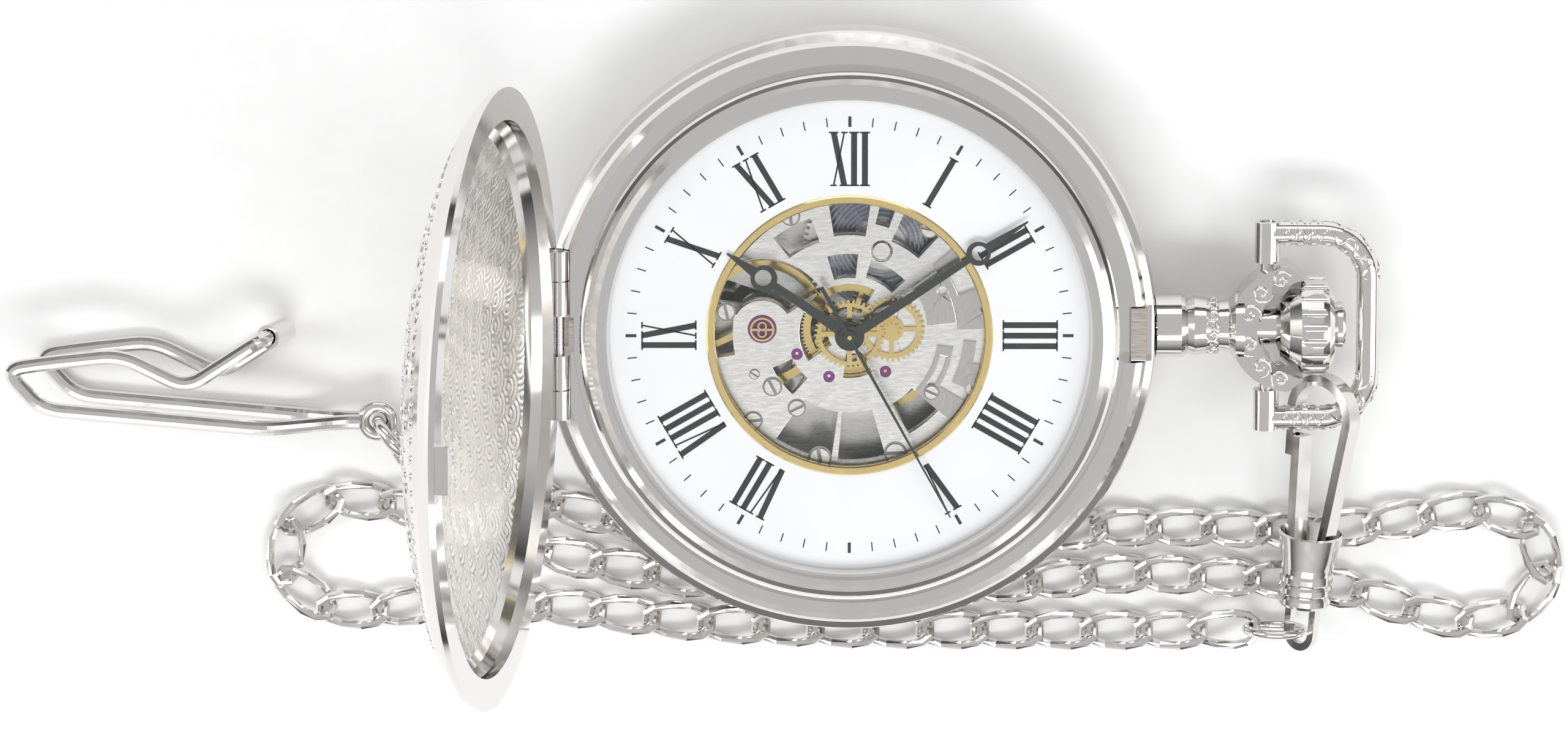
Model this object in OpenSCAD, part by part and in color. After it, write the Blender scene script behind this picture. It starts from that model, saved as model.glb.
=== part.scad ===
// Open-dial hunter pocket watch with its chain and belt clip, lying on its back with the lid open.
// Millimetres. z = 0 is the surface, +Z the dial's normal, +Y the 12 o'clock side, +X the crown side.

/* [Case] */
// Radius of the back shell and of the band
case_r = 23.9; // [22:0.1:26]
// Height of the back shell
back_h = 6; // [5:0.1:7]
// Wall thickness of the back shell
back_wall = 0.7; // [0.5:0.05:1]
// Height of the flange the closed lid rests on
flange_z = 8.45; // [8:0.05:9]
// Outer radius of the bezel
bezel_r = 21; // [20:0.1:22]
// Radius of the crystal
crystal_r = 19.2; // [18:0.1:20]

/* [Lid] */
// Angle at which the lid stands open
lid_open = 100; // [60:1:120]
// Height of the closed lid's crown above the surface
lid_top = 14.2; // [13:0.1:16]
// Wall thickness of the lid
lid_wall = 0.6; // [0.4:0.05:1]
// Distance of the hinge axis from the dial's axis
hinge_x = 22.6; // [22:0.1:24]
// Height of the hinge axis
hinge_z = 8.3; // [8:0.1:9]
// Radius of the hinge knuckles
knuckle_r = 0.85; // [0.6:0.05:1]

/* [Pendant and bow] */
// Height of the stem's axis
stem_z = 5; // [4:0.1:6]
// Distance of the bow's pivots from the dial's axis
bow_x = 32.6; // [31:0.1:34]
// Radius of the bow's wire
bow_wire = 0.9; // [0.7:0.05:1.1]
// Half the distance between the bow's arms
bow_half = 7.4; // [7:0.1:8]

/* [Dial and hands] */
// Height of the dial's face
dial_z = 8.7; // [8.5:0.05:9]
// Radius of the opening in the dial
aperture_r = 10.9; // [10:0.1:12]
// Clock angle of the hour hand
hour_angle = 304.7; // [0:0.1:360]
// Clock angle of the minute hand
minute_angle = 56.4; // [0:0.1:360]
// Clock angle of the seconds hand
second_angle = 151.3; // [0:0.1:360]

/* [Chain] */
// Distance between neighbouring links
link_pitch = 4.3; // [4:0.05:5]
// Radius of the links' wire
link_wire = 0.345; // [0.3:0.005:0.4]
// Half the width of a link between its wire centres
link_half = 1.3; // [1:0.05:1.4]
// Twist of each end of a link
link_twist = 36; // [25:1:40]

/* [Belt clip] */
// Radius of the clip's wire
clip_wire = 0.6; // [0.5:0.05:0.7]
// Distance between the clip's two parallel wires
clip_depth = 5; // [4:0.1:6]

/* [Hidden] */
$fn = 48;

band_z = back_h;
lid_rest_z = flange_z + 0.05;
pivot_bore = 0.15;

// Levels of the movement, from the back to the dial
ratchet_z = 2.95;
bridge_z = 2.9;
fourth_z = 3.75;
third_z = 4.2;
escape_z = 4.65;
balance_z = 5.1;
centre_z = 6.05;
plate_z = 6.5;
plate_top = 7.7;

// Arbor positions on the plate
barrel_at = [2.5, 6.5];
third_at = [2.8, -3.1];
escape_at = [-1.6, -3.5];
pallet_at = [-4.1, -1.7];
balance_at = [-6.8, 0.3];
minute_at = [3.28, 0.33];
crown_wheel_at = [7.8, 0];

// Tooth counts
barrel_n = 72;
centre_pinion_n = 12;
centre_n = 80;
third_pinion_n = 10;
third_n = 75;
fourth_pinion_n = 10;
fourth_n = 84;
escape_pinion_n = 7;
escape_n = 15;
cannon_n = 12;
minute_n = 36;
minute_pinion_n = 10;
hour_n = 40;
winding_n = 16;
crown_wheel_n = 32;
ratchet_n = 52;

function dist(a, b) = norm(b - a);
function heading(a, b) = atan2(b[1] - a[1], b[0] - a[0]);
function unit(v) = v / norm(v);
function module_of(d, n1, n2) = 2 * d / (n1 + n2);
function xyz(p, z) = [p[0], p[1], z];

// Rotation that puts a gap of the second wheel on the first wheel's tooth
function mesh_turn(a, b, turn, n1, n2) =
    heading(a, b) + 180 - 180 / n2 + (heading(a, b) - turn) * n1 / n2;

m_barrel = module_of(norm(barrel_at), barrel_n, centre_pinion_n);
m_centre = module_of(norm(third_at), centre_n, third_pinion_n);
m_third = module_of(norm(third_at), third_n, fourth_pinion_n);
m_fourth = module_of(norm(escape_at), fourth_n, escape_pinion_n);
m_motion = module_of(norm(minute_at), cannon_n, minute_n);
m_hour = module_of(norm(minute_at), minute_pinion_n, hour_n);
m_wind = 2 * 3.2 / crown_wheel_n;
m_ratchet = 2 * (dist(crown_wheel_at, barrel_at) - 3.2) / ratchet_n;
escape_r = 2.67;

third_turn = mesh_turn([0, 0], third_at, 0, centre_n, third_pinion_n);
fourth_turn = mesh_turn(third_at, [0, 0], third_turn, third_n, fourth_pinion_n);
escape_turn = mesh_turn([0, 0], escape_at, fourth_turn, fourth_n, escape_pinion_n);
barrel_turn = mesh_turn([0, 0], barrel_at, 0, centre_pinion_n, barrel_n);
minute_turn = mesh_turn([0, 0], minute_at, 0, cannon_n, minute_n);
hour_turn = mesh_turn(minute_at, [0, 0], minute_turn, minute_pinion_n, hour_n);
ratchet_turn = mesh_turn(crown_wheel_at, barrel_at, 180 / crown_wheel_n, crown_wheel_n, ratchet_n);

// Clasp frame: its eye's centre, and its lean, rise and roll
clasp_at = [35.6, -25, 3.7];
clasp_lean = 4.9;
clasp_rise = 4.5;
clasp_roll = 45;
clasp_ring_at = [33.62, -25.1, 2.92];
clasp_ring_r = 2.25;
clasp_ring_tilt = 86;
clasp_ring_slope = 24;

// Belt clip frame: centre of its eye, the ring through it and the way that ring points
clip_eye_at = [-37, -8.2, 2.6];
clip_eye_r = 1.15;
clip_ring_r = 1.75;
clip_ring_heading = -50;
clip_ring_reach = [cos(clip_ring_heading), sin(clip_ring_heading), 0];
clip_skew = [2.3, 0];

// Way points of the chain, from the clasp's ring to the belt clip's ring
chain_z = 0.86;
chain_way = [
    [31.75, -25.2, 2.2], [27, -25.6, 1], [12, -25.6, chain_z], [0, -25.5, chain_z],
    [-12, -25, chain_z], [-24, -23.6, chain_z], [-33, -23.4, chain_z], [-39, -24.2, chain_z],
    [-43.5, -22.8, chain_z], [-44.9, -19.5, chain_z], [-43.5, -16.2, chain_z], [-39.6, -14.8, chain_z],
    [-34, -15.9, chain_z], [-24, -19.2, chain_z], [-12, -21.5, chain_z], [0, -22, chain_z],
    [12, -21.9, chain_z], [22, -21, chain_z], [29, -21.3, chain_z], [38, -21.9, chain_z],
    [45, -24.1, chain_z], [50.2, -25.1, chain_z], [53.9, -23.7, chain_z], [55.3, -20.4, chain_z],
    [53.9, -17.1, chain_z], [50.2, -15.7, chain_z], [45, -16.4, chain_z], [38, -17.5, chain_z],
    [29, -17.3, chain_z], [20, -17.3, chain_z], [12, -18.2, chain_z], [0, -18.5, chain_z],
    [-12, -17.9, chain_z], [-22, -15.7, chain_z], [-28.5, -13.2, 1.1],
    clip_eye_at + (2.6 + 0.55) * clip_ring_reach
];
way_n = len(chain_way);
way_steps = 12;
function way(i) = chain_way[max(0, min(way_n - 1, i))];
function spline(i, t) =
    0.5 * (2 * way(i) + (way(i + 1) - way(i - 1)) * t
    + (2 * way(i - 1) - 5 * way(i) + 4 * way(i + 1) - way(i + 2)) * t * t
    + (3 * way(i) - way(i - 1) - 3 * way(i + 1) + way(i + 2)) * t * t * t);
chain_line = [
    for (i = [0:way_n - 2]) for (k = [0:way_steps - 1]) spline(i, k / way_steps),
    way(way_n - 1)
];
line_n = len(chain_line);
function way_step(i) = chain_line[min(i, line_n - 1)] - chain_line[i - 1];
chain_run = [
    for (i = 0, s = 0; i < line_n; i = i + 1, s = s + norm(way_step(i))) s
];
chain_length = chain_run[line_n - 1];
chain_n = round(chain_length / link_pitch);
chain_x = [for (i = [0:line_n - 1]) [chain_run[i], chain_line[i][0]]];
chain_y = [for (i = [0:line_n - 1]) [chain_run[i], chain_line[i][1]]];
chain_h = [for (i = [0:line_n - 1]) [chain_run[i], chain_line[i][2]]];
function chain_at(s) = [lookup(s, chain_x), lookup(s, chain_y), lookup(s, chain_h)];
function joint_at(i) = chain_at(chain_length * i / chain_n);

// Cylinder from a to b
module rod(a, b, r) {
    d = b - a;
    h = norm(d);
    translate(a) rotate([0, acos(d[2] / h), atan2(d[1], d[0])]) cylinder(r=r, h=h);
}

// Tube around the z axis
module tube(r_out, r_in, z0, z1) {
    translate([0, 0, z0])
        difference() {
            cylinder(r=r_out, h=z1 - z0);
            translate([0, 0, -1]) cylinder(r=r_in, h=z1 - z0 + 2);
        }
}

// Ring sector around the z axis
module sector(r_in, r_out, a0, a1, z0, z1) {
    translate([0, 0, z0]) rotate([0, 0, a0])
        rotate_extrude(angle=a1 - a0) translate([r_in, 0]) square([r_out - r_in, z1 - z0]);
}

// Toothed disc, with straight-flanked teeth of the width share w
module gear(n, m, z0, z1, w=0.42) {
    r = n * m / 2;
    half = w * 180 / n;
    pts = [
        for (i = [0:n - 1]) for (k = [0:5])
            let (
                a = i * 360 / n + [-1.35, -1, -0.5, 0.5, 1, 1.35][k] * half,
                q = r + [-1.2, 0, 0.85, 0.85, 0, -1.2][k] * m
            ) q * [cos(a), sin(a)]
    ];
    translate([0, 0, z0]) linear_extrude(z1 - z0) polygon(pts);
}

// Cut-out that leaves a hub, a rim and spokes
module spoke_cut(r_in, r_out, n, w, z0, z1) {
    difference() {
        tube(r_out, r_in, z0 - 0.2, z1 + 0.2);
        for (i = [0:n - 1]) rotate([0, 0, i * 360 / n])
            translate([0, -w / 2, z0 - 0.3]) cube([r_out + 1, w, z1 - z0 + 0.6]);
    }
}

// Spiral strip from the radius r0 to r1
module spiral(r0, r1, turns, thick, z0, z1) {
    steps = 20 * turns;
    inner = [for (i = [0:steps]) let (a = 18 * i, r = r0 + (r1 - r0) * i / steps) r * [cos(a), sin(a)]];
    outer = [for (i = [steps:-1:0]) let (a = 18 * i, r = r0 + thick + (r1 - r0) * i / steps)
        r * [cos(a), sin(a)]];
    translate([0, 0, z0]) linear_extrude(z1 - z0) polygon(concat(inner, outer));
}

// Round wire through flat way points, with rounded corners of the radius bend
module bent_wire(p, bend, r) {
    last = len(p) - 1;
    dir = [for (i = [0:last - 1]) unit(p[i + 1] - p[i])];
    turn = [for (i = [0:last]) i == 0 || i == last ? 0 :
        atan2(dir[i - 1][0] * dir[i][1] - dir[i - 1][1] * dir[i][0], dir[i - 1] * dir[i])];
    cut = [for (i = [0:last]) bend * tan(abs(turn[i]) / 2)];
    for (i = [0:last - 1]) rod(xyz(p[i] + cut[i] * dir[i], 0), xyz(p[i + 1] - cut[i + 1] * dir[i], 0), r);
    for (i = [1:last - 1]) {
        s = turn[i] > 0 ? 1 : -1;
        start = p[i] - cut[i] * dir[i - 1];
        mid = start + s * bend * [-dir[i - 1][1], dir[i - 1][0]];
        from = atan2(start[1] - mid[1], start[0] - mid[0]);
        translate(xyz(mid, 0)) rotate([0, 0, s > 0 ? from : from + turn[i]])
            rotate_extrude(angle=abs(turn[i])) translate([bend, 0]) circle(r=r);
    }
}

// Way points with each corner rounded over the length cut
function rounded(p, cut, steps) = [
    for (i = [0:len(p) - 1]) each i == 0 || i == len(p) - 1 ? [p[i]] :
        let (
            before = min(cut, norm(p[i] - p[i - 1]) / 2.05),
            after = min(cut, norm(p[i + 1] - p[i]) / 2.05),
            a = p[i] + before * unit(p[i - 1] - p[i]),
            b = p[i] + after * unit(p[i + 1] - p[i])
        ) [for (k = [0:steps]) let (t = k / steps) (1 - t) * (1 - t) * a + 2 * t * (1 - t) * p[i] + t * t * b]
];

// Round wire of the radius r along the points p, none of whose stretches is vertical
module swept_wire(p, r, sides=12) {
    n = len(p);
    rings = [
        for (i = [0:n - 1])
            let (
                along = unit(unit(p[min(n - 1, i + 1)] - p[max(0, min(n - 2, i))])
                    + unit(p[max(1, i)] - p[max(0, i - 1)])),
                up = [0, 0, 1],
                e1 = unit(up - (up * along) * along),
                e2 = cross(along, e1)
            ) [for (k = [0:sides - 1]) let (a = k * 360 / sides) p[i] + r * (cos(a) * e1 + sin(a) * e2)]
    ];
    walls = [
        for (i = [0:n - 2]) for (k = [0:sides - 1]) let (j = (k + 1) % sides)
            each [
                [i * sides + k, (i + 1) * sides + k, (i + 1) * sides + j],
                [i * sides + k, (i + 1) * sides + j, i * sides + j]
            ]
    ];
    ends = [[for (k = [0:sides - 1]) k], [for (k = [sides - 1:-1:0]) (n - 1) * sides + k]];
    polyhedron(points=[for (ring = rings) each ring], faces=concat(walls, ends));
}

// Solid of revolution about the crown's axis; profile points are [radius, x]
module along_x(profile) {
    translate([0, 0, stem_z]) rotate([0, 90, 0]) rotate_extrude() polygon(profile);
}

// ---- case ----

function dome(r) = 4.6 * pow(max(r - 2.5, 0) / 21.4, 1.9);

module case_back() {
    rs = [for (i = [0:14]) 2.5 + i * 1.45];
    edge = [[case_r, 4.75], [case_r + 0.1, 5.1], [case_r, back_h]];
    outer = concat([[0, 0]], [for (r = rs) [r, dome(r)]], edge);
    inner = [for (i = [14:-1:0]) [rs[i] - 0.35, dome(rs[i]) + back_wall]];
    color("silver") difference() {
        rotate_extrude() polygon(concat(outer, [[22.6, back_h]], inner, [[0, back_wall]]));
        translate([20, 0, stem_z]) rotate([0, 90, 0]) cylinder(r=0.8, h=6);
    }
}

module case_band() {
    profile = [
        [19.4, band_z], [case_r, band_z], [case_r, 7.2], [case_r - 0.15, 7.55], [23.2, 7.9], [22.9, 8.3],
        [22.4, flange_z], [21.5, flange_z], [21.5, 7.7], [21.05, 7.7], [21.05, 8.85], [19.4, 8.85]
    ];
    color("silver") {
        difference() {
            rotate_extrude() polygon(profile);
            translate([-25, -6.75, 7.35]) cube([3.3, 13.5, 3]);
            translate([-21.9, -1.4, 7.7]) cube([0.5, 2.8, 3]);
            translate([21.1, -2.25, 6.5]) cube([2.45, 4.5, 3]);
        }
        for (y = [-4.3, 1.6]) difference() {
            union() {
                translate([-hinge_x, y, hinge_z]) rotate([-90, 0, 0]) cylinder(r=knuckle_r, h=2.7);
                translate([-hinge_x - 0.6, y, 7.35]) cube([1.5, 2.7, hinge_z - 7.35 - 0.3]);
            }
            translate([-hinge_x, y - 0.5, hinge_z]) rotate([-90, 0, 0]) cylinder(r=0.4, h=4);
        }
    }
}

module hinge_pin() {
    color("gray") translate([-hinge_x, -6.7, hinge_z]) rotate([-90, 0, 0]) cylinder(r=0.4, h=13.4);
}

module lift_spring() {
    color("tan") {
        translate([-23.3, -1.1, 7.35]) cube([1.6, 2.2, 0.3]);
        translate([-21.88, -1.1, 7.75]) cube([0.4, 2.2, 0.5]);
        translate([-21.88, -1.1, 7.65]) cube([0.18, 2.2, 0.1]);
    }
}

module bezel() {
    color("silver") rotate_extrude() polygon([
        [18.7, 8.9], [bezel_r, 8.9], [bezel_r, 9.3], [20.85, 9.6], [20.6, 9.85], [20.2, 10.1], [19.7, 10.25],
        [crystal_r + 0.05, 10.25], [crystal_r + 0.05, 9.7], [18.9, 9.7]
    ]);
}

module crystal() {
    color([0.8, 0.9, 0.9, 0.3]) rotate_extrude() polygon([
        [0, 9.75], [crystal_r, 9.75], [crystal_r, 10.25], [16, 10.42], [12, 10.55], [8, 10.64],
        [4, 10.69], [0, 10.7]
    ]);
}

module pendant() {
    profile = [
        [0.85, 23], [2.5, 23], [2.5, 25.9], [2.35, 26.2], [2.15, 26.4], [2.35, 26.9], [2.2, 27.8],
        [1.95, 28.8], [2.05, 29.6], [2.6, 30.1], [2.7, 30.8], [1.2, 30.8], [0.85, 30.2]
    ];
    color("silver") {
        difference() {
            along_x(profile);
            cylinder(r=case_r + 0.1, h=20);
        }
        difference() {
            translate([0, 0, stem_z - 1.7]) linear_extrude(3.4) polygon(concat(
                [for (a = [-105:10:105]) [34.6 - 5 * cos(a * 0.82), 5 * sin(a * 0.82)]],
                [for (a = [80:-10:-80]) [36.9 - 5.1 * cos(a * 0.92), 4.15 * sin(a * 0.92)]]
            ));
            translate([26, 0, stem_z]) rotate([0, 90, 0]) cylinder(r=2.72, h=4.8);
            translate([30, 0, stem_z]) rotate([0, 90, 0]) cylinder(r=1.6, h=3);
            translate([32.9, 0, stem_z]) rotate([0, 90, 0]) cylinder(r=3.95, h=6);
        }
        for (s = [-1, 1]) translate([bow_x, s > 0 ? 3.4 : -bow_half - 0.8, stem_z]) rotate([-90, 0, 0])
            cylinder(r=0.55, h=bow_half - 2.6);
    }
}

module bow() {
    far = 40.5;
    bend = 3.6;
    color("silver") translate([0, 0, stem_z]) {
        difference() {
            union() {
                bent_wire([
                    [bow_x, -bow_half], [far, -bow_half], [far, bow_half], [bow_x, bow_half]
                ], bend, bow_wire);
                for (s = [-1, 1]) translate([bow_x, s > 0 ? bow_half - 2.3 : -bow_half - 0.9, 0])
                    rotate([-90, 0, 0]) cylinder(r=1, h=3.2);
            }
            for (s = [-1, 1]) translate([bow_x, s > 0 ? 4 : -12, 0])
                rotate([-90, 0, 0]) cylinder(r=0.6, h=8);
        }
    }
}

module crown() {
    profile = [
        [0, 31.6], [1.5, 31.6], [1.5, 33.3], [2.4, 33.6], [3.1, 34.3], [3.7, 35.2], [3.9, 36.1], [3.9, 36.9],
        [3.6, 37.4], [2.9, 37.8], [1.9, 38.1], [1.9, 38.5], [1.6, 38.7], [0, 38.8]
    ];
    color("silver") {
        difference() {
            along_x(profile);
            for (i = [0:19]) translate([32, 0, stem_z]) rotate([i * 18 + 9, 0, 0])
                translate([0, 0, 4.15]) rotate([0, 90, 0]) cylinder(r=0.45, h=7);
        }
        translate([7.9, 0, stem_z]) rotate([0, 90, 0]) cylinder(r=0.45, h=23.7);
    }
}

module latch() {
    color("gray") {
        translate([21.9, -2.1, 6.55]) cube([0.95, 4.2, 1.4]);
        translate([21.9, -2.1, 7.95]) cube([1.22, 4.2, 0.4]);
    }
}

// ---- lid ----

function lid_out(r) = lid_top - 4.6 * pow(r / 23.5, 2.6);

module lid_closed() {
    rs = [0, 2.5, 5, 7.5, 10, 12.5, 15, 17, 18.5, 20, 21.4, 22.6];
    outer = [for (r = rs) [r, lid_out(r)]];
    inner = [for (i = [9:-1:0]) [rs[i], lid_out(rs[i]) - lid_wall]];
    profile = concat(outer, [[23.4, 9.3], [23.7, 8.95], [23.7, lid_rest_z], [21.2, lid_rest_z], [21.2, 9.35],
        [20.7, 10.1]], inner);
    difference() {
        union() {
            rotate_extrude() polygon(profile);
            translate([23.2, -1.8, 7.85]) cube([0.28, 3.6, lid_rest_z - 7.85]);
            translate([22.92, -1.8, 7.5]) cube([0.56, 3.6, 0.35]);
        }
        translate([-26, -6.9, 8]) cube([26 - 21.62, 13.8, 1.7]);
    }
    for (y = [-6.7, 4.4]) difference() {
        union() {
            translate([-hinge_x, y, hinge_z]) rotate([-90, 0, 0]) cylinder(r=knuckle_r, h=2.3);
            translate([-hinge_x, y, 8.55]) cube([hinge_x - 21.4, 2.3, 0.55]);
        }
        translate([-hinge_x, y - 0.5, hinge_z]) rotate([-90, 0, 0]) cylinder(r=0.44, h=4);
    }
}

module front_lid() {
    color("silver") translate([-hinge_x, 0, hinge_z]) rotate([0, -lid_open, 0])
        translate([hinge_x, 0, -hinge_z]) lid_closed();
}

// ---- dial and hands ----

module dial() {
    color("white") tube(19.3, aperture_r, dial_z - 0.35, dial_z);
}

module aperture_ring() {
    color("gold") rotate_extrude() polygon([
        [10.5, dial_z - 0.35], [10.88, dial_z - 0.35], [10.88, dial_z + 0.03], [11.15, dial_z + 0.03],
        [11.05, dial_z + 0.12], [10.6, dial_z + 0.12], [10.5, dial_z]
    ]);
}

module movement_ring() {
    color("lightgray") difference() {
        tube(19.35, 13.6, 6.3, dial_z - 0.37);
        translate([12, 0, stem_z]) rotate([0, 90, 0]) cylinder(r=1.2, h=9);
    }
}

// Hand pointing to +Y: a tapered arm, a ring and a fine tip
module ring_hand(ring_y, ring_r, tip_y, w0, w1, z0, t, hub, bore) {
    difference() {
        union() {
            translate([0, 0, z0]) cylinder(r=hub, h=t);
            translate([0, 0, z0]) linear_extrude(t) polygon([
                [-w0, 0], [w0, 0], [w1, ring_y - ring_r + 0.15], [-w1, ring_y - ring_r + 0.15]
            ]);
            translate([0, ring_y, z0]) cylinder(r=ring_r, h=t);
            translate([0, 0, z0]) linear_extrude(t) polygon([
                [-w1 * 1.5, ring_y + ring_r - 0.2], [w1 * 1.5, ring_y + ring_r - 0.2],
                [0.06, tip_y], [-0.06, tip_y]
            ]);
        }
        translate([0, ring_y + 0.08, z0 - 1]) cylinder(r=ring_r * 0.62, h=3);
        translate([0, 0, z0 - 1]) cylinder(r=bore, h=3);
    }
}

module hour_hand() {
    color("black") rotate([0, 0, -hour_angle])
        ring_hand(8.1, 1.05, 11.6, 0.45, 0.28, dial_z + 0.2, 0.12, 1.15, 0.74);
}

module minute_hand() {
    color("black") rotate([0, 0, -minute_angle])
        ring_hand(12, 0.95, 16.6, 0.42, 0.24, dial_z + 0.45, 0.12, 0.85, 0.48);
}

module seconds_hand() {
    color("black") rotate([0, 0, -second_angle]) difference() {
        union() {
            translate([0, 0, dial_z + 0.7]) cylinder(r=0.5, h=0.1);
            translate([0, 0, dial_z + 0.7]) linear_extrude(0.1) polygon([
                [-0.16, -4.6], [0.16, -4.6], [0.05, 16.4], [-0.05, 16.4]
            ]);
        }
        translate([0, 0, 8]) cylinder(r=0.17, h=3);
    }
}

// ---- movement ----

module main_plate() {
    color("silver") difference() {
        translate([0, 0, plate_z]) cylinder(r=13.5, h=plate_top - plate_z);
        sector(7.6, 9.6, 108, 128, 6, 8);
        sector(7.8, 10.3, 81, 99, 6, 8);
        sector(8.9, 10.5, 70, 77, 6, 8);
        sector(8, 10.3, 48, 66, 6, 8);
        sector(4.4, 6.3, 84, 106, 6, 8);
        sector(4.6, 6, 44, 74, 6, 8);
        translate(xyz(balance_at, 0)) sector(2.3, 5.6, 32, 150, 6, 8);
        sector(9.1, 10.5, 172, 191, 6, 8);
        sector(1.7, 3.9, 60, 145, 6, 8);
        sector(1.7, 3.9, 155, 215, 6, 8);
        sector(1.7, 3.6, 262, 300, 6, 8);
        sector(4.9, 6.6, 205, 228, 6, 8);
        sector(6.4, 10.4, 236, 262, 6, 8);
        sector(6.4, 10.4, 265, 286, 6, 8);
        sector(6.6, 9.3, 300, 318, 6, 8);
        translate([7.5, -2.1, 6]) cube([4.1, 4.2, 1]);
        translate([0, 0, 6]) cylinder(r=0.5, h=3);
        translate([minute_at[0], minute_at[1], 6]) cylinder(r=0.2, h=3);
        for (p = [third_at, escape_at, pallet_at]) translate([p[0], p[1], 6]) cylinder(r=0.45, h=3);
        translate([balance_at[0], balance_at[1], 6]) cylinder(r=1.1, h=3);
        translate([barrel_at[0], barrel_at[1], 6]) cylinder(r=0.85, h=3);
    }
}

module plate_jewels() {
    color("crimson") {
        for (p = [third_at, escape_at, pallet_at]) translate(xyz(p, 0)) tube(0.45, pivot_bore, 6.9, 7.6);
        translate(xyz(balance_at, 0)) tube(1.1, 0.75, 6.6, 7.8);
        translate(xyz(balance_at, 0)) tube(0.75, pivot_bore, 6.75, 7.2);
        translate(xyz(balance_at, 7.3)) cylinder(r=0.75, h=0.3);
    }
}

module shock_spring() {
    color("gold") translate(xyz(balance_at, 0)) {
        tube(0.95, 0.8, 7.8, 7.9);
        difference() {
            translate([-0.95, -0.09, 7.9]) cube([1.9, 0.18, 0.08]);
            translate([-0.3, -0.5, 7.85]) cube([0.6, 1, 0.3]);
        }
        for (s = [-1, 1]) translate([0, 0.28 * s, 0]) tube(0.36, 0.24, 7.9, 7.98);
    }
}

module keyless_cover() {
    color("lightgray") difference() {
        union() {
            sector(8.4, 13.3, 2, 40, plate_top, 8.05);
            sector(6.1, 8.4, 6, 36, plate_top, 8.05);
        }
        for (p = [[10.6, 2], [7.2, 3.4], [10.2, 6.4]]) translate(xyz(p, 7)) cylinder(r=0.35, h=2);
        sector(9, 10.4, 20, 32, 7, 9);
    }
}

module setting_lever() {
    color("silver") {
        sector(8.9, 9.9, -26, -4, plate_top, 7.95);
        translate([9.7, -4.1, plate_top]) cylinder(r=0.85, h=0.3);
        sector(9.9, 12.6, -20, -14, plate_top, 7.95);
    }
}

module lever_spring() {
    color("silver") difference() {
        union() {
            sector(6.9, 8.2, -42, -8, plate_top, 7.9);
            sector(8.2, 11.6, -42, -31, plate_top, 7.9);
        }
        sector(7.3, 7.8, -34, -14, 7, 9);
    }
}

module centre_wheel() {
    color("gold") difference() {
        union() {
            gear(centre_n, m_centre, centre_z, centre_z + 0.25);
            gear(centre_pinion_n, m_barrel, 5, centre_z + 0.1);
            translate([0, 0, 4.9]) cylinder(r=0.45, h=2.85);
        }
        spoke_cut(1.35, 3.05, 5, 0.4, centre_z, centre_z + 0.25);
        translate([0, 0, 4]) cylinder(r=0.22, h=6);
    }
}

module cannon_pinion() {
    color("lightgray") difference() {
        union() {
            gear(cannon_n, m_motion, 7.75, 7.97);
            translate([0, 0, 7.97]) cylinder(r=0.48, h=1.4);
        }
        translate([0, 0, 7]) cylinder(r=0.25, h=4);
    }
}

module minute_wheel() {
    color("gold") translate(xyz(minute_at, 0)) {
        difference() {
            rotate([0, 0, minute_turn]) gear(minute_n, m_motion, 7.75, 7.95);
            spoke_cut(0.95, 1.95, 4, 0.35, 7.75, 7.95);
        }
        rotate([0, 0, minute_turn]) gear(minute_pinion_n, m_hour, 7.95, 8.25);
        translate([0, 0, 6.9]) cylinder(r=pivot_bore, h=0.85);
    }
}

module hour_wheel() {
    color("gold") difference() {
        union() {
            rotate([0, 0, hour_turn]) gear(hour_n, m_hour, 8.02, 8.2);
            translate([0, 0, 8.02]) cylinder(r=0.74, h=1.05);
        }
        spoke_cut(1.1, 2.2, 4, 0.4, 8.02, 8.2);
        translate([0, 0, 7]) cylinder(r=0.52, h=4);
    }
}

module third_wheel() {
    color("gold") translate(xyz(third_at, 0)) {
        difference() {
            rotate([0, 0, third_turn]) gear(third_n, m_third, third_z, third_z + 0.2);
            spoke_cut(0.9, 3.1, 5, 0.35, third_z, third_z + 0.2);
        }
        rotate([0, 0, third_turn]) gear(third_pinion_n, m_centre, centre_z - 0.1, centre_z + 0.35);
        translate([0, 0, third_z + 0.2]) cylinder(r=0.3, h=centre_z - 0.1 - third_z - 0.2);
        translate([0, 0, centre_z + 0.35]) cylinder(r=0.13, h=7.5 - centre_z - 0.35);
        translate([0, 0, 3]) cylinder(r=0.13, h=third_z - 2.9);
    }
}

module fourth_wheel() {
    color("gold") {
        difference() {
            rotate([0, 0, fourth_turn]) gear(fourth_n, m_fourth, fourth_z, fourth_z + 0.2);
            spoke_cut(0.9, 3, 5, 0.35, fourth_z, fourth_z + 0.2);
        }
        rotate([0, 0, fourth_turn]) gear(fourth_pinion_n, m_third, fourth_z + 0.2, 4.6);
        translate([0, 0, 4.6]) cylinder(r=0.17, h=4.95);
        translate([0, 0, 3]) cylinder(r=0.13, h=fourth_z - 2.9);
    }
}

module escape_wheel() {
    pts = [
        for (i = [0:escape_n - 1]) for (k = [0:3])
            let (a = i * 24 + [0, 2.2, 4.5, 19][k], q = [2.67, 2.67, 2.1, 2.0][k]) q * [cos(a), sin(a)]
    ];
    color("gainsboro") translate(xyz(escape_at, 0)) {
        difference() {
            translate([0, 0, escape_z]) linear_extrude(0.15) polygon(pts);
            spoke_cut(0.55, 1.75, 4, 0.25, escape_z, escape_z + 0.15);
        }
        rotate([0, 0, escape_turn]) gear(escape_pinion_n, m_fourth, 3.65, 4.05, 0.36);
        translate([0, 0, 4.05]) cylinder(r=0.18, h=escape_z - 4.05);
        translate([0, 0, escape_z + 0.15]) cylinder(r=0.13, h=7.5 - escape_z - 0.15);
        translate([0, 0, 3]) cylinder(r=0.13, h=0.65);
    }
}

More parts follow.
